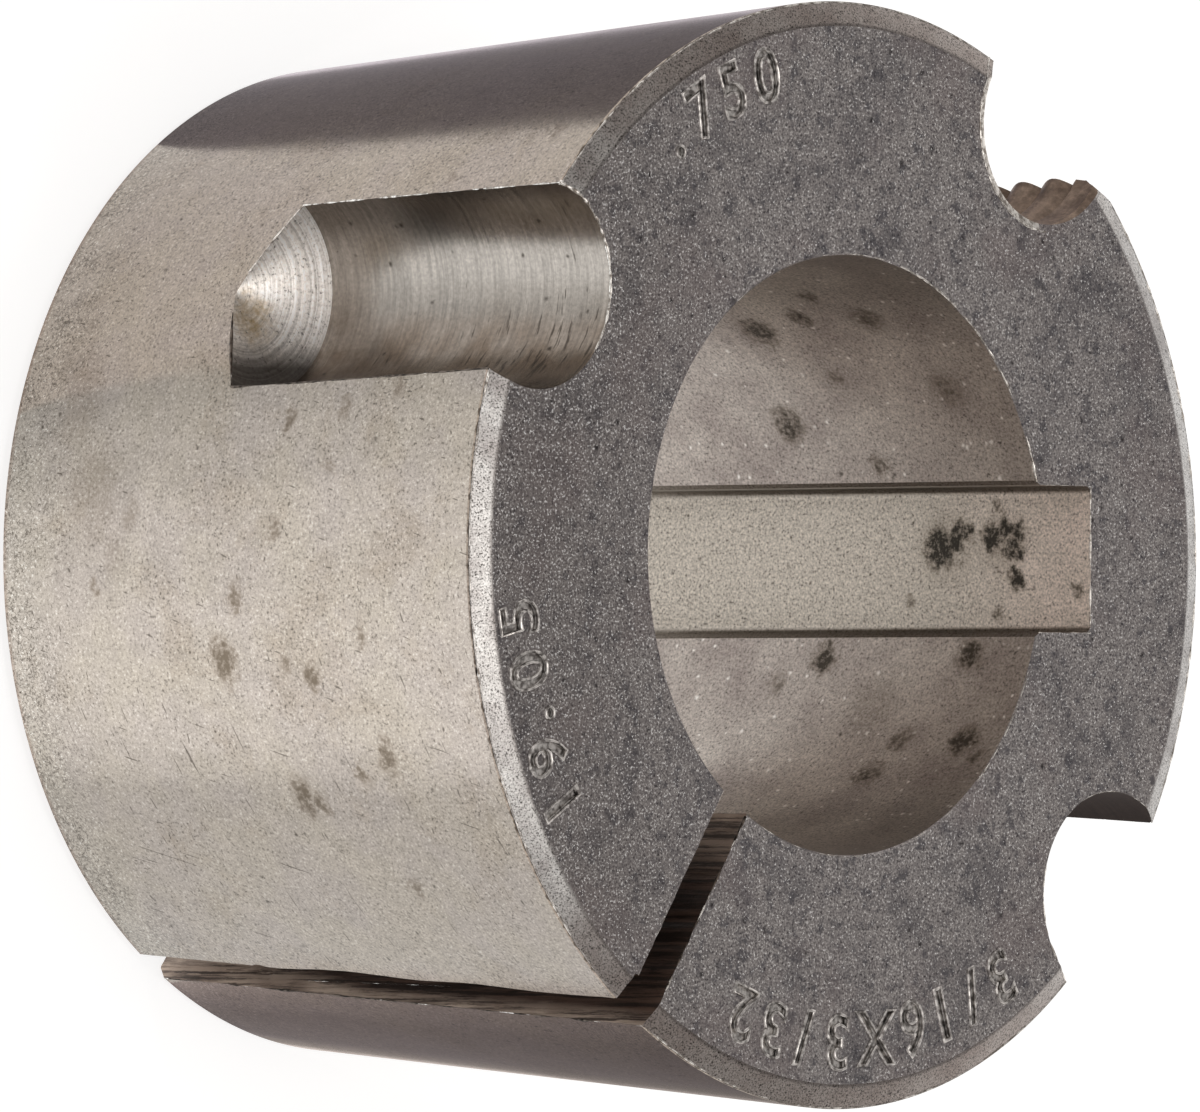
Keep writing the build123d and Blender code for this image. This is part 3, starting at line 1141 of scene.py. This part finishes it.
def makeEdgeTubes(paths, thickness, seed):
    # uneven threads of metal that swell into beads and die away along their paths
    data = bpy.data.curves.new("edge_tubes", "CURVE")
    data.dimensions = "3D"
    data.bevel_depth = thickness
    data.bevel_resolution = 1
    data.use_fill_caps = True
    for number, (points, thick, cover) in enumerate(paths):
        spline = data.splines.new("POLY")
        spline.points.add(len(points) - 1)
        for point, place in zip(spline.points, points):
            at = place / mm + Vector((seed, 0, 17 * number))
            patchy = noise.noise(at * burr["patch"]) + 2 * cover - 1
            bead = 0.7 + 0.8 * noise.noise(at * 2.9)
            point.co = (place.x, place.y, place.z - burr["sunk"] * thick, 1)
            point.radius = thick * max(0.05, min(1.2, 0.5 + 1.6 * patchy)) * max(0.15, min(1.0, bead))
    curve = newObject("edge_tubes", data)
    mesh = evaluatedMesh(curve)
    bpy.data.objects.remove(curve)
    bm = bmesh.new()
    bm.from_mesh(mesh)
    bpy.data.meshes.remove(mesh)
    return bm


def finishPiece(piece, sharp):
    for polygon in piece.data.polygons:
        polygon.use_smooth = True
    piece.data.set_sharp_from_angle(angle=radians(sharp))
    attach(piece, "root")


bushBody = makeBlank()
print("blank turned")
holeSteels = zip(drilledSteels, drillPointSteels)
cutters = [makePlainHoleCutter(*each) for each in zip(bush["plainHoles"], (3, 8), holeSteels)]
cutters += [makeKeywayCutter(), makeThreadCutter(), makeJackDrillCutter(), makeWornCornerCutter()]
cutters.append(makeSplitCutter())
cutters.append(meshPiece("stamp_cutter", makeStampShape(False), [stampedSteel]))
for cutter in cutters:
    cutWith(bushBody, cutter)
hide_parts("taper_bush")
finishPiece(bushBody, 26)
stampLips = meshPiece("stamp_lips", makeStampShape(True), [stampedSteel])
edgeBurrs = meshPiece("edge_burrs", makeEdgeTubes(brightEdges(), burr["thickness"], 0), [burrSteel])
edgeNicks = meshPiece("edge_nicks", makeEdgeTubes(darkEdges(), burr["nickThickness"], 31), [tornSteel])
for piece in (stampLips, edgeBurrs, edgeNicks):
    finishPiece(piece, 60)
for piece in (bushBody, stampLips, edgeBurrs, edgeNicks):
    print(piece.name, sum(len(p.vertices) - 2 for p in piece.data.polygons), "triangles")

studio = {
    "floorColour": "a9a8a7",
    "floorGlow": 0.8,
    "worldLow": 1.15,  # round the horizon
    "worldHigh": 0.37,
    "ceiling": 1.75,  # what a soft box overhead adds
}


def makeFloor():
    bm = bmesh.new()
    bmesh.ops.create_grid(bm, x_segments=1, y_segments=1, size=3)
    material, add = newMaterial("floor_white")
    shader = add("BsdfPrincipled", Roughness=0.9,
                 **{"Base Color": linear(studio["floorColour"]), "Emission Color": linear("ffffff"),
                    "Emission Strength": studio["floorGlow"]})
    add("OutputMaterial", Surface=shader)
    meshPiece("floor", bm, [material])


# cards laid on the floor round the bush, seen only in its reflections. Each strip is (brightness, the
# angle round the taper where it shows at the small end, and at the large end). It fades evenly from strip
# to strip, by "fade" on its way out, and then into the floor
cards = {
    "black_far": {"colour": "f2e9f1", "fade": 0.75, "strips": [
        (0.3, 124, 130.5), (0.28, 120, 124), (0.29, 113, 113), (0.33, 109, 108), (0.55, 105.5, 104),
        (1.1, 102, 99.5)]},
    "black_near": {"colour": "f8ebed", "fade": 0.5, "strips": [
        (0.62, 239, 232.5), (0.42, 243, 237), (0.31, 246.5, 242), (0.29, 250, 252), (0.4, 254, 256)]},
    "near_edge": {"colour": "f8ebe4", "fade": 0.2, "strips": [
        (0.42, 254, 256), (0.8, 258, 260), (1.12, 261, 265), (1.12, 266, 272), (1.0, 272, 280)]},
    "white": {"colour": "f4f8fa", "fade": 1.0, "strips": [
        (1.0, 164, 158), (1.25, 171, 164), (1.6, 178, 173), (1.85, 188, 186), (1.85, 198, 198),
        (1.6, 204, 203), (1.26, 208, 206), (1.22, 222, 222), (1.18, 235.5, 231)]},
}


def mirrored(angle, height):
    # where the camera sees the floor in the taper, at an angle round it and a height
    lean = bush["halfTaper"]
    outward = Vector(around(1, radians(angle)))
    spot = outward * outerRadius(height) + Vector((0, 0, height))
    normal = outward * cos(lean) - Vector((0, 0, sin(lean)))
    ray = (spot - bpy.context.scene.camera.matrix_world.translation).normalized().reflect(normal)
    return spot - ray * (spot.z / ray.z)


def makeCard(name, spec):
    bm = bmesh.new()
    glowLayer = bm.verts.layers.float_color.new("glow")
    height = 0.03 * mm
    rows = []
    for level, low, high in spec["strips"]:
        start, end = mirrored(low, 0.2 * mm), mirrored(high, top)
        verts = []
        for reach, glow in ((0, level), (1.5, level * spec["fade"]), (3, 1)):
            place = start + (end - start) * reach
            verts.append(bm.verts.new((*place.xy, height)))
            verts[-1][glowLayer] = (glow, glow, glow, 1)
        rows.append([bm.edges.new(pair) for pair in zip(verts, verts[1:])])
    for row, following in zip(rows, rows[1:]):
        bmesh.ops.bridge_loops(bm, edges=row + following)
    material, add = newMaterial("card_" + name)
    level = add("Attribute", attribute_name="glow")
    glow = add("Emission", Color=linear(spec["colour"]), Strength=level.outputs["Fac"])
    add("OutputMaterial", Surface=glow)
    card = meshPiece("card_" + name, bm, [material])
    for kind in ("camera", "diffuse", "shadow", "transmission"):
        setattr(card, "visible_" + kind, False)


lamps = {
    "overhead": {
        "azimuth": -60, "elevation": 84, "distance": 0.4, "size": 0.05, "watts": 0.05, "colour": "fffaf2"},
}


def makeLamp(name, spec):
    data = bpy.data.lights.new(name, "AREA")
    data.shape = "DISK"
    data.size = spec["size"]
    data.energy = spec["watts"]
    data.color = linear(spec["colour"])[:3]
    lamp = newObject(name, data)
    elevation = radians(spec["elevation"])
    away = Vector(around(cos(elevation), radians(spec["azimuth"]), sin(elevation)))
    lamp.location = Vector((0, 0, top)) + away * spec["distance"]
    lamp.rotation_euler = away.to_track_quat("Z", "Y").to_euler()


def makeWorld():
    world = bpy.data.worlds.new("studio")
    world.use_nodes = True
    world.node_tree.nodes.clear()
    add = partial(addNode, world.node_tree)
    direction = add("TexCoord")
    parts = add("SeparateXYZ", direction.outputs["Generated"])
    rise = add("MapRange", parts.outputs["Z"], 0.2, 0.46, studio["worldLow"], studio["worldHigh"])
    near = add("VectorMath", direction.outputs["Generated"], (0.02, -0.055, 0.998),
               operation="DOT_PRODUCT")
    overhead = add("MapRange", near, 0.88, 0.99, 0, studio["ceiling"], interpolation_type="SMOOTHSTEP")
    both = add("Math", rise, overhead, operation="ADD")
    sky = add("Background", Color=linear("fffbf8"), Strength=both)
    add("OutputWorld", Surface=sky)
    bpy.context.scene.world = world


makeFloor()
for name, spec in cards.items():
    makeCard(name, spec)
for name, spec in lamps.items():
    makeLamp(name, spec)
makeWorld()
bpy.context.scene.view_settings.view_transform = "Standard"
print("studio lit")
